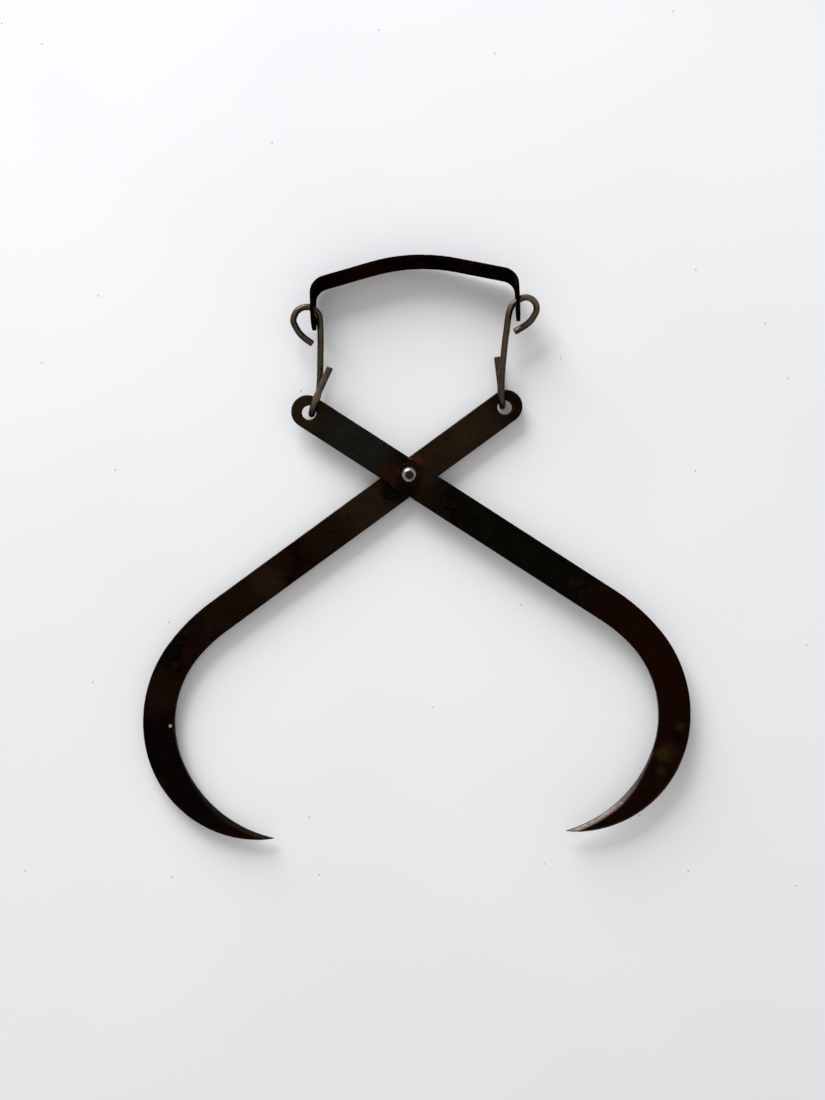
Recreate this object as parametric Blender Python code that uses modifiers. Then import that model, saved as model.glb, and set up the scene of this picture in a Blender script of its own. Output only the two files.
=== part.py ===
"""Ice tongs: two flat-bar arms crossed on one rivet, a strap handle and two bent-wire links.

The tongs lie flat.  +Z is the normal of the arms, +Y points to the handle, and the
origin is on the pivot axis, on the surface that the tongs lie on.
"""

import math

import bmesh
import bpy
from mathutils import Matrix, Vector

MM = 0.001

# Arms: one-inch flat bar, 4.7 mm thick, straight from the eye to the bend of the jaw.
ARM_ANGLE = math.radians(34.5)
ARM_HALF_WIDTH = 12.7
CROSSING_Y = -1.7
ARM_THICKNESS = 4.7
REAR_ARM_Z = 6.2
FRONT_ARM_Z = 11.15
ARM_EDGE = 0.35
EYE_DISTANCE = 91.2
EYE_HOLE = 11.1
END_CENTRE_DISTANCE = 92.6
PIVOT_HOLE = 8.5

# Jaw: a gentle arc, then a tight arc, on each edge, and a last arc down to the point.
# These are measured from the crossing of the two bars' centrelines.
OUTER_CENTRE = (109.5, -185.2)
OUTER_RADIUS = 101.0
OUTER_LEAD_RADIUS = 150.0
INNER_CENTRE = (107.0, -186.0)
INNER_RADIUS = 78.9
INNER_LEAD_RADIUS = 124.0
OUTER_TAPER_FROM = math.radians(-11.0)
INNER_TAPER_FROM = math.radians(-20.0)
TIP = (111.2, -275.2)
TAPER_STEPS = 20

# The point is ground on the upper face, along the inner edge.
GRIND_FROM = 0.12
GRIND_WIDTH = 3.3
GRIND_DEPTH = 1.8

# Rivet and its two washers.
SHANK_RADIUS = 3.95
REAR_HEAD_RADIUS = 6.5
REAR_HEAD_TOP = 4.2
FRONT_HEAD_BASE = 17.85
FRONT_HEAD_RADIUS = 5.8
FRONT_HEAD_HEIGHT = 3.4
WASHER_RADIUS = 9.4
WASHER_THICKNESS = 1.5
REAR_WASHER_Z = 4.45
FRONT_WASHER_Z = 16.1

# Handle: one-inch strap on edge, its ends turned down to the two links.
STRAP_WIDTH = 25.4
STRAP_THICKNESS = 3.0
STRAP_HALF_SPAN = 78.1
STRAP_HOLE = 13.1
CROWN_RADIUS = 133.5
CROWN_HALF_ANGLE = math.radians(14.2)
CROWN_RISE = 34.9
CORNER_RADIUS = 12.0
END_BELOW_HOLE = 15.6
STRAP_TILT = math.radians(9.7)
STRAP_ROLL = math.radians(1.76)
STRAP_YAW = math.radians(0.6)
HOLE_LINE = (8.6, 128.7, 19.3)

# Links: round wire, a curl at the handle and an open hook at the arm's eye.
WIRE_RADIUS = 2.38
HOOK_RADIUS = 5.5
LEFT_HOOK_IN_EYE = (1.8, -1.4)
RIGHT_HOOK_IN_EYE = (-1.8, 0.9)
LEFT_CURL_CENTRE = (-74.8, 120.4)
LEFT_CURL_RADIUS = 10.1
RIGHT_CURL_CENTRE = (90.8, 120.6)
RIGHT_CURL_RADIUS = 8.2


def clear_scene():
    for obj in list(bpy.data.objects):
        bpy.data.objects.remove(obj, do_unlink=True)


def new_collection(name, hidden=False):
    collection = bpy.data.collections.new(name)
    collection.hide_render = hidden
    bpy.context.scene.collection.children.link(collection)
    return collection


def new_material(name, colour, metallic, roughness):
    material = bpy.data.materials.new(name)
    material.use_nodes = True
    shader = material.node_tree.nodes["Principled BSDF"]
    shader.inputs["Base Color"].default_value = (*colour, 1.0)
    shader.inputs["Metallic"].default_value = metallic
    shader.inputs["Roughness"].default_value = roughness
    return material


def arc(centre, radius, start, end, steps):
    """Points on a circle in the plane, from one angle to the other."""
    points = []
    for step in range(steps + 1):
        angle = start + (end - start) * step / steps
        points.append(
            (
                centre[0] + radius * math.cos(angle),
                centre[1] + radius * math.sin(angle),
            )
        )
    return points


def lead_in_angle(centre, radius, lead_radius, offset):
    """How far the wider arc turns before it meets the main arc, so the bar's edge runs into it smoothly."""
    normal = math.pi / 2 - ARM_ANGLE
    reach = centre[0] * math.cos(normal) + centre[1] * math.sin(normal)
    gap = (offset - reach) - radius
    return math.acos(1 - gap / (lead_radius - radius))


def jaw_edge(centre, radius, lead_radius, offset, taper_from):
    """One edge of the right jaw, from the straight bar to the point."""
    normal = math.pi / 2 - ARM_ANGLE
    turn = lead_in_angle(centre, radius, lead_radius, offset)
    meet = normal - turn
    lead_centre = (
        centre[0] - (lead_radius - radius) * math.cos(meet),
        centre[1] - (lead_radius - radius) * math.sin(meet),
    )
    away = Vector(TIP) - Vector(centre)
    along = Vector((math.cos(taper_from), math.sin(taper_from)))
    shift = (away.length_squared - radius**2) / (2 * (away.dot(along) - radius))
    taper_centre = Vector(centre) + shift * along
    last = Vector(TIP) - taper_centre
    end = math.atan2(last.y, last.x)
    edge = arc(lead_centre, lead_radius, normal, meet, 6)
    edge += arc(centre, radius, meet, taper_from, 18)[1:]
    edge += arc(taper_centre, radius - shift, taper_from, end, TAPER_STEPS)[1:]
    return edge


def inner_jaw_edge():
    return jaw_edge(
        INNER_CENTRE,
        INNER_RADIUS,
        INNER_LEAD_RADIUS,
        -ARM_HALF_WIDTH,
        INNER_TAPER_FROM,
    )


def arm_outline():
    """The front arm seen from above, its eye at the upper left and its point at the lower right."""
    outer = jaw_edge(
        OUTER_CENTRE,
        OUTER_RADIUS,
        OUTER_LEAD_RADIUS,
        ARM_HALF_WIDTH,
        OUTER_TAPER_FROM,
    )
    inner = inner_jaw_edge()
    end_angle = math.pi - ARM_ANGLE
    end_centre = (
        END_CENTRE_DISTANCE * math.cos(end_angle),
        END_CENTRE_DISTANCE * math.sin(end_angle),
    )
    eye_end = arc(
        end_centre,
        ARM_HALF_WIDTH,
        end_angle + math.pi / 2,
        end_angle - math.pi / 2,
        20,
    )
    return eye_end + outer + inner[::-1][1:]


def circle(centre, radius, steps):
    return arc(centre, radius, 0.0, 2 * math.pi * (steps - 1) / steps, steps - 1)


def link(obj, collection, material):
    obj.data.materials.clear()
    obj.data.materials.append(material)
    collection.objects.link(obj)
    return obj


def filled_plate(name, loops, half_thickness):
    """A flat plate as a mesh: the first loop is its outline and the others are holes."""
    curve = bpy.data.curves.new(name + "_outline", "CURVE")
    curve.dimensions = "2D"
    curve.fill_mode = "BOTH"
    curve.extrude = half_thickness * MM
    for loop in loops:
        spline = curve.splines.new("POLY")
        spline.points.add(len(loop) - 1)
        for point, (x, y) in zip(spline.points, loop):
            point.co = (x * MM, y * MM, 0.0, 1.0)
        spline.use_cyclic_u = True
    return mesh_from_curve(name, curve)


def mesh_from_curve(name, curve):
    """The curve's mesh with its caps joined to its sides."""
    helper = bpy.data.objects.new(name + "_helper", curve)
    bpy.context.scene.collection.objects.link(helper)
    graph = bpy.context.evaluated_depsgraph_get()
    mesh = bpy.data.meshes.new_from_object(helper.evaluated_get(graph))
    mesh.name = name
    bpy.data.objects.remove(helper, do_unlink=True)
    shape = bmesh.new()
    shape.from_mesh(mesh)
    bmesh.ops.remove_doubles(shape, verts=shape.verts, dist=1e-6)
    bmesh.ops.recalc_face_normals(shape, faces=shape.faces)
    shape.to_mesh(mesh)
    shape.free()
    return mesh


def shade(mesh, angle):
    mesh.shade_smooth()
    mesh.set_sharp_from_angle(angle=math.radians(angle))


def add_edge_bevel(obj, width):
    bevel = obj.modifiers.new("worn_edge", "BEVEL")
    bevel.width = width * MM
    bevel.segments = 1
    bevel.limit_method = "ANGLE"
    bevel.angle_limit = math.radians(50)


def eye_centre(side):
    """The centre of an arm's eye: side is -1 for the eye on the left and 1 for the one on the right."""
    return (
        side * EYE_DISTANCE * math.cos(ARM_ANGLE),
        CROSSING_Y + EYE_DISTANCE * math.sin(ARM_ANGLE),
    )


def lofted(name, sections):
    """A closed mesh through the sections, each a list with the same number of points."""
    mesh = bpy.data.meshes.new(name)
    shape = bmesh.new()
    rows = []
    for section in sections:
        rows.append([shape.verts.new(Vector(point) * MM) for point in section])
    count = len(rows[0])
    for first, second in zip(rows, rows[1:]):
        for i in range(count):
            j = (i + 1) % count
            shape.faces.new((first[i], first[j], second[j], second[i]))
    shape.faces.new(rows[0])
    shape.faces.new(rows[-1])
    bmesh.ops.recalc_face_normals(shape, faces=shape.faces)
    shape.to_mesh(mesh)
    shape.free()
    return mesh


def grinding_wedge(name, top):
    """What the grinder takes off the upper face of the right jaw, along its inner edge to the point."""
    edge = [Vector(point) for point in inner_jaw_edge()[-TAPER_STEPS - 1 :]]
    first = round(GRIND_FROM * TAPER_STEPS)
    sections = []
    for i in range(first, TAPER_STEPS + 1):
        before = edge[max(i - 1, 0)]
        after = edge[min(i + 1, TAPER_STEPS)]
        along = (after - before).normalized()
        into_steel = Vector((-along.y, along.x))
        share = (i - first) / (TAPER_STEPS - first)
        growth = 0.02 + math.sin(math.pi * min(share, 0.62)) ** 1.3
        width = GRIND_WIDTH * growth
        depth = GRIND_DEPTH * growth
        here = edge[i] + along * (3.0 if i == TAPER_STEPS else 0.0)
        high = here + into_steel * width * 1.5
        low = here - into_steel * width * 0.5
        sections.append(
            [
                (high.x, high.y + CROSSING_Y, top + depth * 0.5),
                (low.x, low.y + CROSSING_Y, top - depth * 1.5),
                (low.x, low.y + CROSSING_Y, top + depth * 0.5),
            ]
        )
    return lofted(name, sections)


def make_arm(name, z, mirrored, collection, cutters, material):
    outline = [(x, y + CROSSING_Y) for x, y in arm_outline()]
    eye = circle(eye_centre(-1), EYE_HOLE / 2, 28)
    pivot = circle((0.0, 0.0), PIVOT_HOLE / 2, 28)
    mesh = filled_plate(name, [outline, eye, pivot], ARM_THICKNESS / 2)
    mesh.transform(Matrix.Translation((0, 0, (z + ARM_THICKNESS / 2) * MM)))
    wedge_name = name + "_grinding"
    wedge_mesh = grinding_wedge(wedge_name, z + ARM_THICKNESS)
    if mirrored:
        for each in (mesh, wedge_mesh):
            each.transform(Matrix.Diagonal((-1.0, 1.0, 1.0, 1.0)))
            each.flip_normals()
    shade(mesh, 40)
    obj = link(bpy.data.objects.new(name, mesh), collection, material)
    add_edge_bevel(obj, ARM_EDGE)
    wedge = link(bpy.data.objects.new(wedge_name, wedge_mesh), cutters, material)
    wedge.display_type = "WIRE"
    wedge.hide_render = True
    boolean(obj, wedge, "DIFFERENCE")
    return obj


def make_turned(name, profile, collection, material):
    """A solid of revolution about the pivot axis, from (radius, height) pairs listed top to bottom."""
    mesh = bpy.data.meshes.new(name)
    closed = profile[0][0] > 0
    count = len(profile)
    edges = [(i, i + 1) for i in range(count - 1)]
    if closed:
        edges.append((count - 1, 0))
    mesh.from_pydata([(r * MM, 0.0, z * MM) for r, z in profile], edges, [])
    obj = link(bpy.data.objects.new(name, mesh), collection, material)
    screw = obj.modifiers.new("turned", "SCREW")
    screw.axis = "Z"
    screw.steps = 40
    screw.render_steps = 40
    screw.use_merge_vertices = True
    screw.merge_threshold = 1e-6
    screw.use_smooth_shade = True
    return obj


def ring_profile(inner, outer, bottom, top, edge):
    return [
        (inner, top),
        (outer - edge, top),
        (outer, top - edge),
        (outer, bottom + edge),
        (outer - edge, bottom),
        (inner, bottom),
    ]


def make_rivet(collection, material):
    top = FRONT_HEAD_BASE + FRONT_HEAD_HEIGHT
    profile = [
        (0.0, top),
        (3.1, top),
        (4.4, top - 0.7),
        (5.3, top - 1.7),
        (FRONT_HEAD_RADIUS, top - 2.7),
        (FRONT_HEAD_RADIUS, FRONT_HEAD_BASE + 0.2),
        (FRONT_HEAD_RADIUS - 0.2, FRONT_HEAD_BASE),
        (SHANK_RADIUS, FRONT_HEAD_BASE),
        (SHANK_RADIUS, REAR_HEAD_TOP),
        (REAR_HEAD_RADIUS - 0.2, REAR_HEAD_TOP),
        (REAR_HEAD_RADIUS, REAR_HEAD_TOP - 0.2),
        (REAR_HEAD_RADIUS, 1.6),
        (REAR_HEAD_RADIUS - 0.6, 0.6),
        (REAR_HEAD_RADIUS - 1.5, 0.0),
        (0.0, 0.0),
    ]
    return make_turned("pivot_rivet", profile, collection, material)


def strap_profile(offset):
    """The strap's centreline seen along its width, from the left end to the right end.

    It is moved outwards by offset.  The first coordinate is across the tongs and the
    second is the height above the line of the two end holes.
    """
    crown_centre = (0.0, CROWN_RISE - CROWN_RADIUS)
    slope = CROWN_HALF_ANGLE
    crown_start = (
        CROWN_RADIUS * math.sin(slope),
        CROWN_RISE - CROWN_RADIUS * (1 - math.cos(slope)),
    )
    line_to_side = (STRAP_HALF_SPAN - crown_start[0]) * math.tan(slope)
    side_meets_line = crown_start[1] - line_to_side
    tangent = CORNER_RADIUS * math.tan((math.pi / 2 - slope) / 2)
    corner_centre = (STRAP_HALF_SPAN - CORNER_RADIUS, side_meets_line - tangent)
    half = arc(crown_centre, CROWN_RADIUS + offset, math.pi / 2, math.pi / 2 - slope, 6)
    half += arc(corner_centre, CORNER_RADIUS + offset, math.pi / 2 - slope, 0.0, 10)
    half.append((STRAP_HALF_SPAN + offset, 6.0))
    half.append((STRAP_HALF_SPAN + offset, -END_BELOW_HOLE))
    return [(-x, y) for x, y in half[::-1]] + half[1:]


def boolean(obj, cutter, operation):
    modifier = obj.modifiers.new(operation.lower(), "BOOLEAN")
    modifier.operation = operation
    modifier.object = cutter
    modifier.solver = "EXACT"


def make_handle(collection, cutters, material):
    """The strap, on an empty that marks its hinge axis through the left link's curl."""
    hinge = bpy.data.objects.new("handle_hinge", None)
    hinge.location = Vector((*LEFT_CURL_CENTRE, HOLE_LINE[2])) * MM
    collection.objects.link(hinge)
    outer = strap_profile(STRAP_THICKNESS / 2)
    inner = strap_profile(-STRAP_THICKNESS / 2)
    mesh = filled_plate("handle_strap", [outer + inner[::-1]], STRAP_WIDTH / 2)
    shade(mesh, 40)
    handle = link(bpy.data.objects.new("handle_strap", mesh), collection, material)

    half = STRAP_WIDTH / 2
    round_centre = (0.0, half - END_BELOW_HOLE)
    side = arc(round_centre, half, math.pi, 2 * math.pi, 20)
    side = [(half, 60.0), (-half, 60.0)] + side
    loops = [side, circle((0.0, 0.0), STRAP_HOLE / 2, 28)]
    cutter_mesh = filled_plate("strap_side_view", loops, STRAP_HALF_SPAN + 12)
    turn = Matrix(((0, 0, 1), (0, 1, 0), (-1, 0, 0))).to_4x4()
    cutter_mesh.transform(turn)
    cutter = link(
        bpy.data.objects.new("strap_side_view", cutter_mesh), cutters, material
    )
    cutter.display_type = "WIRE"
    cutter.hide_render = True
    boolean(handle, cutter, "INTERSECT")

    tilt = Matrix.Rotation(-STRAP_TILT, 4, "X")
    roll = Matrix.Rotation(-STRAP_ROLL, 4, "Y")
    yaw = Matrix.Rotation(STRAP_YAW, 4, "Z")
    from_hinge = Vector(HOLE_LINE) * MM - hinge.location
    for obj in (handle, cutter):
        obj.parent = hinge
        obj.matrix_basis = Matrix.Translation(from_hinge) @ yaw @ roll @ tilt
    add_edge_bevel(handle, 0.4)
    return handle


def smooth_path(points, samples):
    """A Catmull-Rom curve through the points."""
    ends = [2 * points[0] - points[1]] + points + [2 * points[-1] - points[-2]]
    path = []
    for i in range(1, len(ends) - 2):
        before, start, end, after = ends[i - 1 : i + 3]
        for step in range(samples):
            t = step / samples
            path.append(
                0.5
                * (
                    2 * start
                    + (end - before) * t
                    + (2 * before - 5 * start + 4 * end - after) * t**2
                    + (3 * start - before - 3 * end + after) * t**3
                )
            )
    path.append(points[-1])
    return path


def hook_points(shank_side, direction, count):
    """The open hook that goes round the arm's rim, from the shank's side to the free side.

    It goes through the eye at the origin, and the arm's middle plane is at height 0.
    """
    along = Vector((math.cos(direction), math.sin(direction), 0.0))
    points = []
    for step in range(count + 1):
        angle = math.pi * step / count
        out = HOOK_RADIUS * (1 - math.sin(angle))
        height = shank_side * HOOK_RADIUS * math.cos(angle)
        points.append(along * out + Vector((0.0, 0.0, height)))
    return points


def link_centreline(axis_angle, mirror, shank, hook, curl):
    """The wire's centreline, from the end of the curl to the free end of the hook.

    axis_angle turns the link about the eye, and mirror is -1 for the link on the right.
    shank, hook and curl hold what differs between the two hand-bent links.
    """
    reach = curl["reach"]
    radius = curl["radius"]
    points = []
    for x, y, z in curl["tail"]:
        points.append(Vector((x, reach + y, z)))
    for x, y in arc(curl["centre"], radius, curl["start"], curl["end"], 10):
        points.append(Vector((x, reach + y, curl["height"] + curl["slope"] * y)))
    for x, y, z in shank:
        points.append(Vector((x, y, z)))
    upper = smooth_path(points, 3)
    bend = hook_points(hook["shank_side"], hook["direction"], 12)
    free = [bend[-1]]
    for x, y, z in hook["free_end"]:
        free.append(Vector((x, y, z)))
    joined = upper + bend[1:-1] + smooth_path(free, 3)
    turn = Matrix.Rotation(axis_angle, 4, "Z")
    flip = Matrix.Diagonal((mirror, 1.0, 1.0, 1.0))
    return [turn @ (flip @ point) for point in joined]


def make_link(name, eye, middle, centreline, collection, material):
    """The wire link, its origin on its hinge axis at the arm's eye."""
    curve = bpy.data.curves.new(name + "_wire", "CURVE")
    curve.dimensions = "3D"
    curve.bevel_depth = WIRE_RADIUS * MM
    curve.bevel_resolution = 2
    curve.use_fill_caps = True
    spline = curve.splines.new("POLY")
    spline.points.add(len(centreline) - 1)
    for point, co in zip(spline.points, centreline):
        point.co = (*(co * MM), 1.0)
    mesh = mesh_from_curve(name, curve)
    shade(mesh, 50)
    obj = link(bpy.data.objects.new(name, mesh), collection, material)
    obj.location = Vector((eye[0], eye[1], middle)) * MM
    return obj


def make_links(collection, left_material, right_material):
    """Both links: the left one hooks into the front arm and the right one into the rear arm."""
    left_eye = Vector(eye_centre(-1)) + Vector(LEFT_HOOK_IN_EYE)
    left_line = Vector(LEFT_CURL_CENTRE) - left_eye
    left = link_centreline(
        math.atan2(left_line.y, left_line.x) - math.pi / 2,
        1.0,
        [
            (9.9, 59.0, 1.6),
            (9.0, 46.0, -1.0),
            (7.6, 28.0, -4.0),
            (6.0, 17.0, -5.4),
            (3.6, 10.0, -5.6),
        ],
        {
            "shank_side": -1.0,
            "direction": math.radians(71),
            "free_end": [(4.3, 11.8, 5.6), (8.3, 19.2, 5.9), (16.2, 34.4, 6.8)],
        },
        {
            "reach": left_line.length,
            "centre": (0.0, 0.0),
            "radius": LEFT_CURL_RADIUS,
            "start": math.radians(188),
            "end": 0.0,
            "height": 3.0,
            "slope": 0.07,
            "tail": [(3.5, -18.0, 2.0), (-2.8, -13.0, 2.2), (-6.9, -8.0, 2.4)],
        },
    )
    make_link(
        "left_link",
        left_eye,
        FRONT_ARM_Z + ARM_THICKNESS / 2,
        left,
        collection,
        left_material,
    )

    right_eye = Vector(eye_centre(1)) + Vector(RIGHT_HOOK_IN_EYE)
    right_line = Vector(RIGHT_CURL_CENTRE) - right_eye
    right = link_centreline(
        math.atan2(right_line.y, right_line.x) - math.pi / 2,
        -1.0,
        [
            (9.5, 75.7, 12.8),
            (10.5, 67.6, 12.0),
            (9.7, 58.6, 11.2),
            (8.7, 47.0, 9.8),
            (6.4, 28.0, 7.6),
            (4.7, 17.5, 6.2),
            (2.9, 9.5, 5.6),
        ],
        {
            "shank_side": 1.0,
            "direction": math.radians(72),
            "free_end": [(3.2, 10.0, -5.4), (5.2, 18.0, -5.1), (11.9, 36.8, -3.8)],
        },
        {
            "reach": right_line.length,
            "centre": (-1.2, 3.6),
            "radius": RIGHT_CURL_RADIUS,
            "start": math.radians(195),
            "end": math.radians(50),
            "height": 12.5,
            "slope": 0.1,
            "tail": [(3.4, -15.4, 10.8), (-2.6, -10.0, 11.3), (-6.9, -4.6, 11.8)],
        },
    )
    make_link(
        "right_link",
        right_eye,
        REAR_ARM_Z + ARM_THICKNESS / 2,
        right,
        collection,
        right_material,
    )


def build():
    clear_scene()
    tongs = new_collection("ice_tongs")
    cutters = new_collection("cutters", hidden=True)

    front_steel = new_material("front_arm_steel", (0.075, 0.072, 0.062), 0.85, 0.5)
    rear_steel = new_material("rear_arm_steel", (0.085, 0.062, 0.045), 0.85, 0.55)
    strap_steel = new_material("handle_steel", (0.07, 0.06, 0.05), 0.85, 0.5)
    left_wire = new_material("left_wire_steel", (0.16, 0.12, 0.085), 0.9, 0.42)
    right_wire = new_material("right_wire_steel", (0.15, 0.11, 0.09), 0.9, 0.42)
    rivet_steel = new_material("rivet_steel", (0.5, 0.48, 0.45), 0.95, 0.35)
    front_washer_steel = new_material("front_washer_steel", (0.06, 0.04, 0.03), 0.8, 0.6)
    rear_washer_steel = new_material("rear_washer_steel", (0.06, 0.04, 0.03), 0.8, 0.6)

    make_arm("front_arm", FRONT_ARM_Z, False, tongs, cutters, front_steel)
    make_arm("rear_arm", REAR_ARM_Z, True, tongs, cutters, rear_steel)
    make_rivet(tongs, rivet_steel)
    for name, bottom, material in (
        ("rear_washer", REAR_WASHER_Z, rear_washer_steel),
        ("front_washer", FRONT_WASHER_Z, front_washer_steel),
    ):
        profile = ring_profile(
            PIVOT_HOLE / 2, WASHER_RADIUS, bottom, bottom + WASHER_THICKNESS, 0.3
        )
        make_turned(name, profile, tongs, material)
    make_handle(tongs, cutters, strap_steel)
    make_links(tongs, left_wire, right_wire)


build()
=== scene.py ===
"""Looks of the ice tongs: worn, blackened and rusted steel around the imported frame."""

import math

import bpy
import numpy as np
from mathutils import Matrix, Vector, noise


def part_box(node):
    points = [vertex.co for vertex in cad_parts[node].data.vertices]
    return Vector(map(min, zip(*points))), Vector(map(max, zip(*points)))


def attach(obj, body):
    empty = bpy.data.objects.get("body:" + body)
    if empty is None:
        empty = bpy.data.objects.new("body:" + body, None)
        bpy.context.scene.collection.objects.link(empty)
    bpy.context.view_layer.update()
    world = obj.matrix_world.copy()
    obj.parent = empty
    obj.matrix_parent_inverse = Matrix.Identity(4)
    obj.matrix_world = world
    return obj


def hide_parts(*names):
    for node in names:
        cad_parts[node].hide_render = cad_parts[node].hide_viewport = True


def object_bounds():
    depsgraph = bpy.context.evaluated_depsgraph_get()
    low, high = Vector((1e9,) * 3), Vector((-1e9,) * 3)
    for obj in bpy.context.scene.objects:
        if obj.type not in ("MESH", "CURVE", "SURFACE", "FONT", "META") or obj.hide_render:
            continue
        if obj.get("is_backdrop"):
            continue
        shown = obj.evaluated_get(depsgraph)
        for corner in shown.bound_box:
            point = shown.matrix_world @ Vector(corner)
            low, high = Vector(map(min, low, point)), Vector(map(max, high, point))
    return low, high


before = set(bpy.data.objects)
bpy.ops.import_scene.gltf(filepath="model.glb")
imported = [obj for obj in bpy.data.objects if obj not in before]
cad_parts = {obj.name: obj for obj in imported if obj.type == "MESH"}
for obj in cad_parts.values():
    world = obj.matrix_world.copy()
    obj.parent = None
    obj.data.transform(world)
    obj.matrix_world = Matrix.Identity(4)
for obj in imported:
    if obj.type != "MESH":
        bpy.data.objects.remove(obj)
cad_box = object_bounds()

# The slant of the arms from X: the front one falls to the right by this, the rear one rises.
ARM_ANGLE = math.radians(34.5)

# What each vertex stores for its material: how near an outer edge it is, and how far it is
# ground, or how strong the painted highlight along a wire's upper side is.
EDGE_ATTRIBUTE = "edge"
GROUND_AND_HIGHLIGHT_ATTRIBUTE = "ground"

# Heights and corners of the pieces, from the frame.
RIVET_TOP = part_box("pivot_rivet")[1].z
FRONT_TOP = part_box("front_arm")[1].z
REAR_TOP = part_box("rear_arm")[1].z
HANDLE_LOW, HANDLE_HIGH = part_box("handle_strap")

# The jaws are ground below this Y, on the facets whose normals have a Z between these two.
GRIND_TOP_Y = -0.218
GRIND_LEAN = (0.25, 0.965)

# A wire's top gets a painted highlight where its normal's Z passes the first, full from the second.
PAINTED_HIGHLIGHT_LEAN = (0.78, 0.98)

# The patina's blotches, specks, scratches and bump, and the waves left by the forging, in
# metres.  The thinness is a scratch's length over its width, and the raggedness is how far a
# patch's border wanders, as a share of the border's width.
BROAD_BLOTCH = 0.030
BLOTCH = 0.0085
SPECK = 0.0022
SCRATCH_LENGTH = 0.010
SCRATCH_THINNESS = 14.0
PATCH_RAGGEDNESS = 1.6
BUMP_DEPTH = 0.00022
FORGING_WAVE = 0.018

# The board under the tongs, and how far apart its flecks are.
BOARD_SIZE = 4.0
CLOUD_SIZE = 0.30
BRUSH_MARK = 0.006
BRUSH_DEPTH = 0.0004
FLECK_SPACING = 0.14

# A big window beyond the handle, the room's own light and the camera above.
WINDOW_PLACE = Vector((-1.45, 3.55, 1.85))
WINDOW_SIZE = 2.75
WINDOW_WATTS = 228.0
WINDOW_COLOUR = (0.96, 0.985, 1.0)
ROOM_COLOUR = (1.0, 0.975, 0.94, 1.0)
ROOM_STRENGTH = 0.57
CAMERA_PLACE = (0.00096, -0.05777, 1.176)
CAMERA_TURN = math.radians(-1.7)
SENSOR_WIDTH = 36.0
LENS = 49.56

# Colours, as linear red, green and blue.
BLUE_BLACK = (0.0115, 0.0105, 0.0085)
GREEN_BLACK = (0.0028, 0.0027, 0.0014)
BLACK = (0.0016, 0.0007, 0.0004)
BROWN = (0.0205, 0.0118, 0.0062)
DARK_BROWN = (0.0098, 0.0048, 0.0018)
RED_BROWN = (0.0230, 0.0072, 0.0024)
DARK_RED = (0.0100, 0.0022, 0.0006)
OLIVE = (0.0290, 0.0190, 0.0058)
RUST = (0.062, 0.018, 0.0030)
BARE_STEEL = (0.36, 0.33, 0.31)
WORN_STEEL = (0.115, 0.098, 0.085)
PINK_STEEL = (0.168, 0.130, 0.119)
WIRE_BROWN = (0.048, 0.033, 0.022)
WIRE_PALE = (0.230, 0.178, 0.140)
WIRE_OLIVE = (0.034, 0.024, 0.012)
PAINT_GREY = (0.815, 0.82, 0.85)
PAINT_WHITE = (0.845, 0.85, 0.88)


# ---------------------------------------------------------------- shader nodes


def add(tree, kind, inputs=None, **settings):
    """A node with its settings made, and each input given a value or linked to a socket."""
    node = tree.nodes.new(kind)
    for key, value in settings.items():
        setattr(node, key, value)
    for key, value in (inputs or {}).items():
        if isinstance(value, bpy.types.NodeSocket):
            tree.links.new(value, node.inputs[key])
        else:
            node.inputs[key].default_value = value
    return node


def mottle(tree, place, grain, detail=4.0, roughness=0.6, distortion=0.0):
    """Noise whose blotches are about grain across, in metres."""
    inputs = {
        "Vector": place,
        "Scale": 1.0 / grain,
        "Detail": detail,
        "Roughness": roughness,
        "Distortion": distortion,
    }
    return add(tree, "ShaderNodeTexNoise", inputs).outputs[0]


def stretch(tree, value, low, high, to_low=0.0, to_high=1.0):
    """The value eased from the first pair of limits to the second."""
    inputs = {
        "Value": value,
        "From Min": low,
        "From Max": high,
        "To Min": to_low,
        "To Max": to_high,
    }
    node = add(tree, "ShaderNodeMapRange", inputs, interpolation_type="SMOOTHSTEP")
    return node.outputs[0]


def calc(tree, operation, first, second=0.0, clamp=False):
    """A Math node's result."""
    inputs = {0: first, 1: second}
    node = add(tree, "ShaderNodeMath", inputs, operation=operation, use_clamp=clamp)
    return node.outputs[0]


def mix_colour(tree, share, first, second):
    """The first colour at a share of 0 and the second at 1; each is a socket or a tuple."""
    node = add(tree, "ShaderNodeMix", {0: share}, data_type="RGBA")
    for index, value in ((6, first), (7, second)):
        if isinstance(value, bpy.types.NodeSocket):
            tree.links.new(value, node.inputs[index])
        else:
            node.inputs[index].default_value = (*value, 1.0)
    return node.outputs[2]


def patch_share(tree, place, blotch, centre, inner, outer, strength):
    """Full strength up to the inner radius and 0 beyond the outer one, with a ragged border."""
    point = add(tree, "ShaderNodeVectorMath", {0: place, 1: centre}, operation="DISTANCE")
    spread = outer - inner
    ragged = add(
        tree,
        "ShaderNodeMath",
        {0: blotch, 1: PATCH_RAGGEDNESS * spread, 2: -PATCH_RAGGEDNESS / 2 * spread},
        operation="MULTIPLY_ADD",
    )
    reach = calc(tree, "ADD", point.outputs["Value"], ragged.outputs[0])
    return stretch(tree, reach, inner, outer, strength, 0.0)


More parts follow.
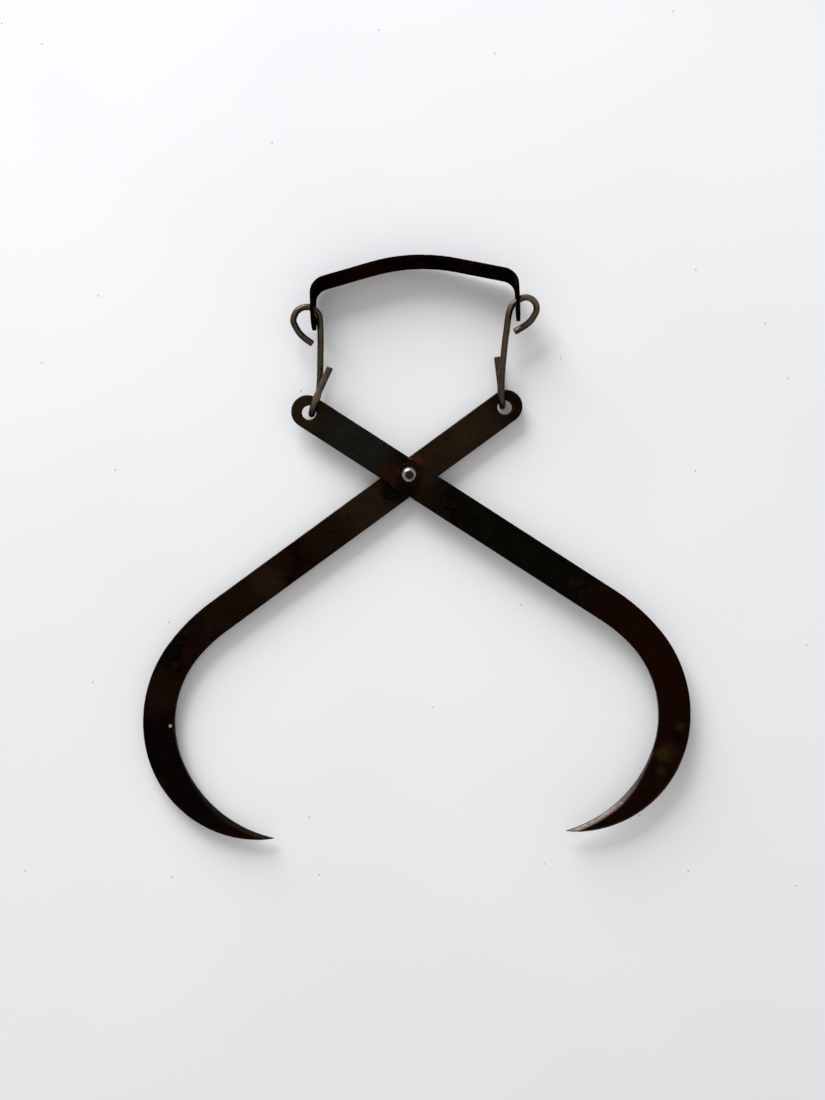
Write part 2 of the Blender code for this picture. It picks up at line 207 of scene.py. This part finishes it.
def steel(
    name,
    tones,
    patches=(),
    wear=0.6,
    worn_near=None,
    bare=BARE_STEEL,
    grain=1.0,
    sheen=0.42,
    metal=0.92,
    gloss=0.15,
    seed=0.0,
):
    """Blackened steel.

    tones are its darkest, usual and lighter colours.  Each of patches is a colour, the centre of a
    ragged patch, its inner and outer radius and its strength.  wear is how far the edges are rubbed
    bright, and bare is the colour that shows there, where the steel is ground and in the painted
    highlight along a wire's top.  worn_near, a centre and two radii, is where the edges are rubbed
    most.  sheen is the roughness, metal the metallic share of the dull steel and gloss its specular
    level.
    """
    material = bpy.data.materials.new(name)
    material.use_nodes = True
    tree = material.node_tree
    shader = tree.nodes["Principled BSDF"]
    coordinates = add(tree, "ShaderNodeTexCoord").outputs["Object"]
    moved = add(
        tree,
        "ShaderNodeVectorMath",
        {0: coordinates, 1: (seed, seed * 0.7, seed * 0.3)},
        operation="ADD",
    )
    place = moved.outputs[0]
    broad = mottle(tree, place, BROAD_BLOTCH * grain, 3.0, 0.55, 0.6)
    blotch = mottle(tree, place, BLOTCH * grain, 5.0, 0.62, 0.8)
    speckle = mottle(tree, place, SPECK * grain, 4.0, 0.6)
    drawn_out = add(
        tree,
        "ShaderNodeMapping",
        {
            "Vector": place,
            "Rotation": (0.0, 0.0, 0.6),
            "Scale": (1.0, SCRATCH_THINNESS, 1.0),
        },
    )
    scratch = mottle(tree, drawn_out.outputs[0], SCRATCH_LENGTH, 3.0, 0.5)

    dark, usual, light = tones
    colour = mix_colour(tree, stretch(tree, broad, 0.36, 0.58), dark, usual)
    colour = mix_colour(tree, stretch(tree, blotch, 0.48, 0.70), colour, light)
    for tint, centre, inner, outer, strength in patches:
        share = patch_share(tree, coordinates, blotch, centre, inner, outer, strength)
        colour = mix_colour(tree, share, colour, tint)
    spots = stretch(tree, speckle, 0.56, 0.70, 0.0, 0.75)
    colour = mix_colour(tree, spots, colour, dark)
    scuffs = stretch(tree, scratch, 0.60, 0.74, 0.0, 0.07)
    colour = mix_colour(tree, scuffs, colour, WORN_STEEL)

    edge = add(tree, "ShaderNodeAttribute", attribute_name=EDGE_ATTRIBUTE).outputs["Fac"]
    broken = calc(tree, "MULTIPLY", edge, stretch(tree, blotch, 0.36, 0.62, 0.35, 1.25))
    rubbed = stretch(tree, broken, 0.42, 0.95, 0.0, wear)
    if worn_near:
        near = patch_share(tree, coordinates, blotch, *worn_near, 1.0)
        rubbed = calc(tree, "MULTIPLY", rubbed, stretch(tree, near, 0.0, 1.0, 0.05, 1.0))
    # Where the jaws are ground, and the painted highlight along the wires' tops, both shown in
    # bare.
    ground = add(tree, "ShaderNodeAttribute", attribute_name=GROUND_AND_HIGHLIGHT_ATTRIBUTE).outputs["Fac"]
    ground_and_highlight = calc(tree, "MULTIPLY", ground, stretch(tree, speckle, 0.30, 0.66, 0.65, 1.0))
    shiny = calc(tree, "MAXIMUM", rubbed, ground_and_highlight)
    colour = mix_colour(tree, shiny, colour, bare)
    tree.links.new(colour, shader.inputs["Base Color"])
    shader.inputs["Metallic"].default_value = metal
    if metal < 1.0:
        tree.links.new(stretch(tree, shiny, 0.0, 1.0, metal, 1.0), shader.inputs["Metallic"])

    rough = stretch(tree, blotch, 0.30, 0.70, sheen - 0.07, sheen + 0.16)
    rough = calc(tree, "SUBTRACT", rough, calc(tree, "MULTIPLY", shiny, 0.10), clamp=True)
    tree.links.new(rough, shader.inputs["Roughness"])
    shader.inputs["Specular IOR Level"].default_value = gloss

    relief = calc(tree, "MULTIPLY", speckle, 0.55)
    relief = calc(tree, "ADD", relief, blotch)
    relief = calc(tree, "SUBTRACT", relief, calc(tree, "MULTIPLY", spots, 0.35))
    bump = add(
        tree,
        "ShaderNodeBump",
        {"Height": relief, "Strength": 0.5, "Distance": BUMP_DEPTH},
    )
    tree.links.new(bump.outputs[0], shader.inputs["Normal"])
    return material


# ------------------------------------------------------------------- geometry


def read_vertices(mesh):
    """The vertices' places and normals, a row each."""
    points = np.empty(len(mesh.vertices) * 3, np.float32)
    mesh.vertices.foreach_get("co", points)
    normals = np.empty(len(mesh.vertices) * 3, np.float32)
    mesh.vertices.foreach_get("normal", normals)
    return points.reshape(-1, 3).astype(float), normals.reshape(-1, 3).astype(float)


def write_vertices(mesh, points):
    """Moves the vertices to these places."""
    mesh.vertices.foreach_set("co", points.astype(np.float32).ravel())
    mesh.update()


def averaged(values, ends, passes):
    """The values, one row a vertex, each averaged with its neighbours this many times."""
    count = np.bincount(ends.ravel(), minlength=len(values))[:, None] + 1.0
    for _ in range(passes):
        total = values.copy()
        np.add.at(total, ends[:, 0], values[ends[:, 1]])
        np.add.at(total, ends[:, 1], values[ends[:, 0]])
        values = total / count
    return values


def read_edges(mesh):
    """The two vertices of each edge."""
    ends = np.empty(len(mesh.edges) * 2, np.int32)
    mesh.edges.foreach_get("vertices", ends)
    return ends.reshape(-1, 2)


def store(mesh, name, values):
    """A new vertex attribute with these values."""
    attribute = mesh.attributes.new(name, "FLOAT", "POINT")
    attribute.data.foreach_set("value", values.astype(np.float32))


def remeshed(node, voxel, smoothing, turn=0.0, swell=0.0):
    """A fine, even skin over the CAD node, its edges softened.

    The node is turned by turn, about Z, while the skin is made, so that its long edges lie along
    the skin's grid.  swell puts back what the softening takes off a thin wire.
    """
    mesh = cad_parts[node].data.copy()
    mesh.transform(Matrix.Rotation(turn, 4, "Z"))
    piece = bpy.data.objects.new(node + "_worn", mesh)
    bpy.context.scene.collection.objects.link(piece)
    skin = piece.modifiers.new("skin", "REMESH")
    skin.mode = "VOXEL"
    skin.voxel_size = voxel
    softened = piece.modifiers.new("softened", "SMOOTH")
    softened.factor = 0.5
    softened.iterations = smoothing
    graph = bpy.context.evaluated_depsgraph_get()
    skinned = bpy.data.meshes.new_from_object(piece.evaluated_get(graph))
    skinned.transform(Matrix.Rotation(-turn, 4, "Z"))
    piece.modifiers.clear()
    piece.data = skinned
    skinned.name = node + "_worn"
    points, normals = read_vertices(skinned)
    write_vertices(skinned, points + normals * swell)
    return piece


def sink(mesh, waviness, pitting, pit_size, seed):
    """Forged unevenness and rust pits, always into the steel so that the running gaps stay."""
    points, normals = read_vertices(mesh)
    shift = Vector((seed, seed * 1.7, seed * 0.4))
    depth = np.empty(len(points))
    for i, point in enumerate(points):
        place = Vector(point)
        wave = noise.noise(place / FORGING_WAVE + shift)
        pit = noise.noise(place / pit_size + shift)
        fine = noise.noise(place / (pit_size * 0.37) + shift)
        hollow = max(0.0, pit - 0.12) * 1.6 + max(0.0, fine - 0.25) * 0.7
        depth[i] = waviness * (0.5 + 0.5 * wave) + pitting * hollow
    write_vertices(mesh, points - normals * depth[:, None])


def dent(mesh, centre, radius, depth):
    """A knock: the surface near the centre is pushed in towards the steel."""
    points, normals = read_vertices(mesh)
    away = np.linalg.norm(points - np.array(centre), axis=1)
    share = np.clip(1.0 - away / radius, 0.0, 1.0) ** 2
    write_vertices(mesh, points - normals * (share * depth)[:, None])


def mark_edges(mesh, passes, full):
    """Stores how far each vertex stands proud of its surroundings, 1 on a full outer edge."""
    points, normals = read_vertices(mesh)
    ends = read_edges(mesh)
    proud = ((points - averaged(points, ends, passes)) * normals).sum(axis=1)
    store(mesh, EDGE_ATTRIBUTE, np.clip(proud / full, 0.0, 1.0))


def mark_ground(mesh, strength):
    """Stores where the upper face of the jaw is ground: it leans, and lies near the point."""
    points, normals = read_vertices(mesh)
    ends = read_edges(mesh)
    lean = normals[:, 2]
    least, most = GRIND_LEAN
    ground = (lean > least) & (lean < most) & (points[:, 1] < GRIND_TOP_Y)
    shares = averaged(ground.astype(float)[:, None], ends, 3)[:, 0]
    store(mesh, GROUND_AND_HIGHLIGHT_ATTRIBUTE, np.clip(shares, 0.0, 1.0) * strength)


def mark_painted_top_highlight(mesh, strength):
    """Stores a painted highlight along a wire's upper side."""
    _, normals = read_vertices(mesh)
    start, full = PAINTED_HIGHLIGHT_LEAN
    shares = np.clip((normals[:, 2] - start) / (full - start), 0.0, 1.0)
    store(mesh, GROUND_AND_HIGHLIGHT_ATTRIBUTE, shares * strength)


def finish_piece(piece, node, body, material):
    """Gives the piece its material and has it ride its body in place of the CAD node."""
    piece.data.materials.clear()
    piece.data.materials.append(material)
    piece.data.shade_smooth()
    if GROUND_AND_HIGHLIGHT_ATTRIBUTE not in piece.data.attributes:
        store(piece.data, GROUND_AND_HIGHLIGHT_ATTRIBUTE, np.zeros(len(piece.data.vertices)))
    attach(piece, body)
    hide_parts(node)


# --------------------------------------------------------------------- pieces


def forged_arm(node, turn, pitting, pit_size, seed, dents, ground):
    """An arm's skin, knocked at each of dents: a centre, a radius and a depth."""
    piece = remeshed(node, 0.00050, 4, turn=turn)
    sink(piece.data, 0.00008, pitting, pit_size, seed)
    for centre, radius, depth in dents:
        dent(piece.data, centre, radius, depth)
    mark_edges(piece.data, 5, 0.00022)
    mark_ground(piece.data, ground)
    return piece


def make_front_arm():
    top = FRONT_TOP
    dents = (
        ((0.0215, -0.0005, top), 0.0022, 0.0004),
        ((0.0660, -0.0300, top), 0.0030, 0.0004),
        ((0.1480, -0.0855, top), 0.0026, 0.0005),
        ((0.2090, -0.1900, top), 0.0030, 0.0005),
        ((-0.0400, 0.0410, top), 0.0024, 0.0004),
    )
    piece = forged_arm("front_arm", ARM_ANGLE, 0.00010, 0.0034, 3.1, dents, 0.78)
    material = steel(
        "front_arm_patina",
        (BLACK, GREEN_BLACK, DARK_BROWN),
        [
            (BLUE_BLACK, (-0.040, 0.026, top), 0.020, 0.040, 0.95),
            (BROWN, (-0.079, 0.052, top), 0.011, 0.024, 0.85),
            (RED_BROWN, (-0.014, 0.001, top), 0.004, 0.014, 0.70),
            (BROWN, (0.012, -0.003, top), 0.003, 0.014, 0.65),
            (DARK_BROWN, (0.014, -0.018, top), 0.004, 0.014, 0.8),
            (GREEN_BLACK, (0.085, -0.060, top), 0.030, 0.060, 0.75),
            (DARK_RED, (0.178, -0.125, top), 0.030, 0.060, 0.85),
            (DARK_RED, (0.198, -0.190, top), 0.040, 0.065, 0.90),
            (DARK_RED, (0.165, -0.250, top), 0.015, 0.045, 0.85),
            (RED_BROWN, (0.192, -0.217, top), 0.003, 0.012, 0.60),
            (OLIVE, (0.202, -0.200, top), 0.001, 0.005, 0.60),
            (OLIVE, (0.1885, -0.2195, top), 0.002, 0.009, 0.85),
            (OLIVE, (0.1865, -0.233, top), 0.001, 0.006, 0.50),
            (BLACK, (0.199, -0.2065, top), 0.002, 0.006, 0.90),
        ],
        wear=0.60,
        worn_near=((0.004, -0.003, top), 0.012, 0.034),
        bare=PINK_STEEL,
        seed=0.37,
    )
    finish_piece(piece, "front_arm", "front_arm", material)


def make_rear_arm():
    top = REAR_TOP
    nick = (-0.1893, -0.1874, top)
    dents = (
        (nick, 0.0024, 0.0009),
        ((-0.0900, -0.0480, top), 0.0026, 0.0004),
        ((-0.2040, -0.1600, top), 0.0030, 0.0005),
        ((0.0480, 0.0440, top), 0.0024, 0.0004),
    )
    piece = forged_arm("rear_arm", -ARM_ANGLE, 0.00011, 0.0031, 7.7, dents, 0.10)
    material = steel(
        "rear_arm_patina",
        (BLACK, DARK_RED, DARK_BROWN),
        [
            (BROWN, (0.038, 0.022, top), 0.030, 0.050, 0.80),
            (DARK_BROWN, (0.082, 0.054, top), 0.008, 0.024, 0.7),
            (OLIVE, (0.044, 0.030, top), 0.004, 0.014, 0.4),
            (RUST, (0.0055, 0.0105, top), 0.0020, 0.0075, 0.70),
            (BROWN, (-0.034, -0.026, top), 0.016, 0.034, 0.75),
            (DARK_BROWN, (-0.064, -0.046, top), 0.010, 0.026, 0.8),
            (BROWN, (-0.113, -0.080, top), 0.006, 0.020, 0.75),
            (DARK_BROWN, (-0.140, -0.100, top), 0.014, 0.040, 0.7),
            (DARK_BROWN, (-0.199, -0.158, top), 0.006, 0.020, 0.7),
            (BLACK, (-0.196, -0.205, top), 0.016, 0.040, 0.85),
            (BLACK, (-0.168, -0.246, top), 0.018, 0.040, 0.85),
            (BARE_STEEL, nick, 0.0007, 0.0018, 1.0),
            # A painted shadow: the front arm's shadow on the rear arm, below its lower edge by the
            # pivot.
            (BLACK, (-0.013, -0.012, top), 0.005, 0.013, 0.85),
        ],
        wear=0.20,
        bare=WORN_STEEL,
        seed=1.91,
    )
    finish_piece(piece, "rear_arm", "rear_arm", material)


def make_rivet():
    piece = remeshed("pivot_rivet", 0.00030, 5)
    sink(piece.data, 0.00020, 0.00006, 0.0021, 5.3)
    mark_edges(piece.data, 5, 0.00016)
    material = steel(
        "rivet_worn_head",
        (BROWN, WORN_STEEL, BARE_STEEL),
        [
            (BARE_STEEL, (0.0, 0.0, RIVET_TOP - 0.0008), 0.005, 0.0105, 1.0),
            (BROWN, (0.0003, -0.0006, RIVET_TOP), 0.0027, 0.0040, 0.97),
        ],
        wear=0.9,
        bare=BARE_STEEL,
        grain=0.35,
        sheen=0.24,
        seed=2.2,
    )
    finish_piece(piece, "pivot_rivet", "front_arm", material)


def make_washers():
    for node, seed in (("front_washer", 4.1), ("rear_washer", 8.6)):
        piece = remeshed(node, 0.00028, 4)
        sink(piece.data, 0.00008, 0.00010, 0.0018, seed)
        mark_edges(piece.data, 5, 0.00014)
        material = steel(
            node + "_rust",
            (BLACK, DARK_BROWN, BROWN),
            wear=0.15,
            bare=WORN_STEEL,
            grain=0.4,
            sheen=0.50,
            seed=seed,
        )
        finish_piece(piece, node, "front_arm", material)


def make_handle():
    piece = remeshed("handle_strap", 0.00045, 4)
    sink(piece.data, 0.00012, 0.00008, 0.0036, 1.3)
    mark_edges(piece.data, 5, 0.00020)
    left_of_crown = (HANDLE_LOW.x + HANDLE_HIGH.x) / 2 - 0.035
    crown_y = HANDLE_HIGH.y - 0.016
    reddened = (left_of_crown, crown_y, HANDLE_LOW.z + 0.004)
    right_bend = (HANDLE_HIGH.x - 0.008, crown_y - 0.004, 0.018)
    material = steel(
        "handle_patina",
        (BLACK, BLACK, DARK_RED),
        [
            (DARK_RED, reddened, 0.008, 0.030, 0.8),
            (GREEN_BLACK, right_bend, 0.004, 0.022, 0.6),
        ],
        wear=0.40,
        bare=OLIVE,
        sheen=0.46,
        metal=0.0,
        gloss=0.0,
        seed=5.4,
    )
    finish_piece(piece, "handle_strap", "handle", material)


def make_links():
    # The pale patches are painted highlights on the wires' legs and loops; the black one is a dark
    # spot on the right wire.
    left_painted_highlights = (
        (WIRE_PALE, (-0.0705, 0.0625, 0.0193), 0.003, 0.010, 0.55),
        (WIRE_PALE, (-0.0650, 0.0745, 0.0197), 0.002, 0.007, 0.40),
    )
    right_highlights_and_dark_spot = (
        (WIRE_PALE, (0.0835, 0.1250, 0.0220), 0.003, 0.010, 0.50),
        (WIRE_PALE, (0.0990, 0.1310, 0.0225), 0.003, 0.010, 0.50),
        (BLACK, (0.0885, 0.1115, 0.0200), 0.004, 0.010, 0.95),
    )
    for node, slot, tones, patches, seed in (
        ("left_link", "left_wire", (DARK_BROWN, WIRE_OLIVE, WIRE_BROWN), left_painted_highlights, 6.2),
        ("right_link", "right_wire", (DARK_BROWN, WIRE_BROWN, WIRE_BROWN), right_highlights_and_dark_spot, 9.4),
    ):
        piece = remeshed(node, 0.00034, 8, swell=0.00026)
        sink(piece.data, 0.00006, 0.00005, 0.0026, seed)
        mark_edges(piece.data, 8, 0.00020)
        # A painted highlight along the wire's upper side.
        mark_painted_top_highlight(piece.data, 0.36)
        material = steel(
            slot + "_patina",
            tones,
            patches,
            wear=0.12,
            bare=WIRE_PALE,
            grain=0.6,
            sheen=0.26,
            metal=1.0,
            seed=seed,
        )
        finish_piece(piece, node, node, material)


# ---------------------------------------------------------- floor, light, camera


def make_floor():
    """The white painted board that the tongs lie on."""
    bpy.ops.mesh.primitive_plane_add(size=BOARD_SIZE)
    floor = bpy.context.object
    floor.name = "floor"
    material = bpy.data.materials.new("white_paint")
    material.use_nodes = True
    tree = material.node_tree
    shader = tree.nodes["Principled BSDF"]
    place = add(tree, "ShaderNodeTexCoord").outputs["Object"]
    cloud = mottle(tree, place, CLOUD_SIZE, 2.0, 0.5)
    colour = mix_colour(tree, stretch(tree, cloud, 0.3, 0.7), PAINT_GREY, PAINT_WHITE)
    cells = add(
        tree,
        "ShaderNodeTexVoronoi",
        {"Vector": place, "Scale": 1.0 / FLECK_SPACING},
        voronoi_dimensions="2D",
    )
    flecks = stretch(tree, cells.outputs["Distance"], 0.0025, 0.0075, 0.5, 0.0)
    colour = mix_colour(tree, flecks, colour, WORN_STEEL)
    tree.links.new(colour, shader.inputs["Base Color"])
    shader.inputs["Roughness"].default_value = 0.62
    brushed = mottle(tree, place, BRUSH_MARK, 3.0, 0.55)
    bump = add(
        tree,
        "ShaderNodeBump",
        {"Height": brushed, "Strength": 0.10, "Distance": BRUSH_DEPTH},
    )
    tree.links.new(bump.outputs[0], shader.inputs["Normal"])
    floor.data.materials.append(material)
    floor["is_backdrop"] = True


def make_light():
    """The window, turned to face the pivot, and an even light from the room."""
    data = bpy.data.lights.new("window", "AREA")
    data.shape = "SQUARE"
    data.size = WINDOW_SIZE
    data.energy = WINDOW_WATTS
    data.color = WINDOW_COLOUR
    light = bpy.data.objects.new("window", data)
    bpy.context.scene.collection.objects.link(light)
    light.location = WINDOW_PLACE
    light.rotation_euler = (-WINDOW_PLACE).to_track_quat("-Z", "Y").to_euler()
    world = bpy.data.worlds.new("room")
    world.use_nodes = True
    background = world.node_tree.nodes["Background"]
    background.inputs["Color"].default_value = ROOM_COLOUR
    background.inputs["Strength"].default_value = ROOM_STRENGTH
    bpy.context.scene.world = world


def make_camera():
    """Straight above the tongs, turned a little about its own axis."""
    data = bpy.data.cameras.new("camera")
    data.sensor_width = SENSOR_WIDTH
    data.lens = LENS
    camera = bpy.data.objects.new("camera", data)
    bpy.context.scene.collection.objects.link(camera)
    camera.location = CAMERA_PLACE
    camera.rotation_euler = (0.0, 0.0, CAMERA_TURN)
    bpy.context.scene.camera = camera


bpy.context.scene.view_settings.view_transform = "Standard"
make_front_arm()
make_rear_arm()
make_rivet()
make_washers()
make_handle()
make_links()
make_floor()
make_light()
make_camera()

bpy.context.view_layer.update()
sizes = {"cad": cad_box, "visual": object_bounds()}
for name, corners in sizes.items():
    sizes[name] = [[float(value) for value in corner] for corner in corners]
